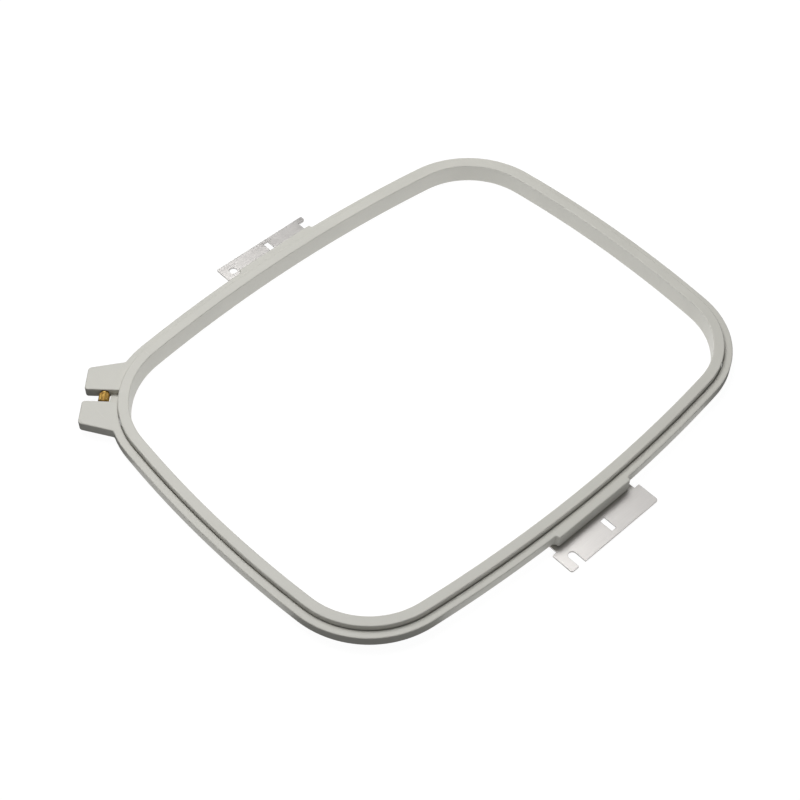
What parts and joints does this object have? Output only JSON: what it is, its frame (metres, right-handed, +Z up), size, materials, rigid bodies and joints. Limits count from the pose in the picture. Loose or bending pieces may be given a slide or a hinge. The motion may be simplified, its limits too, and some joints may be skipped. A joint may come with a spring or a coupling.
{
  "type": "embroidery hoop",
  "caption": "Large double-ring embroidery hoop: bowed rectangular inner ring, split outer ring with a corner tension screw, and a flat steel clip-in bracket on each side.",
  "frame": {"origin": "on the surface that the two brackets rest on, below the middle of the window", "axes": "+Y points to the hoop's back, along its length, +X to its right, where the slotted bracket is, and +Z up, away from the brackets"},
  "size_m": [0.355, 0.3976, 0.0158],
  "materials": {
    "ring_plastic": "satin moulded plastic, light warm grey",
    "bracket_steel": "fine brushed stainless sheet with blanked edges",
    "screw_steel": "bright plated steel",
    "brass": "turned brass, lightly tarnished"
  },
  "bodies": {
    "outer_frame": {"outer_ring": "ring_plastic", "left_bracket": "bracket_steel", "right_bracket": "bracket_steel", "left_bracket_screw_1": "screw_steel", "left_bracket_screw_2": "screw_steel", "left_bracket_screw_3": "screw_steel", "left_bracket_screw_4": "screw_steel", "right_bracket_screw_1": "screw_steel", "right_bracket_screw_2": "screw_steel", "right_bracket_screw_3": "screw_steel", "right_bracket_screw_4": "screw_steel", "left_bracket_insert_1": "brass", "left_bracket_insert_2": "brass", "left_bracket_insert_3": "brass", "left_bracket_insert_4": "brass", "right_bracket_insert_1": "brass", "right_bracket_insert_2": "brass", "right_bracket_insert_3": "brass", "right_bracket_insert_4": "brass", "front_lug_insert": "brass", "back_lug_insert": "brass"},
    "inner_ring": {"inner_ring": "ring_plastic"},
    "tension_screw": {"tension_screw": "brass"}
  },
  "joints": [
    {"name": "inner_ring_lift", "type": "slide", "parent": "outer_frame", "child": "inner_ring", "axis": [0, 0, 1], "range_m": [0, 0.03]},
    {"name": "tension_screw_turn", "type": "hinge", "parent": "outer_frame", "child": "tension_screw", "pos_m": [-0.13096, -0.17514, 0.00815], "axis": [-0.7071, 0.7071, 0], "range_deg": [-720, 540]}
  ]
}
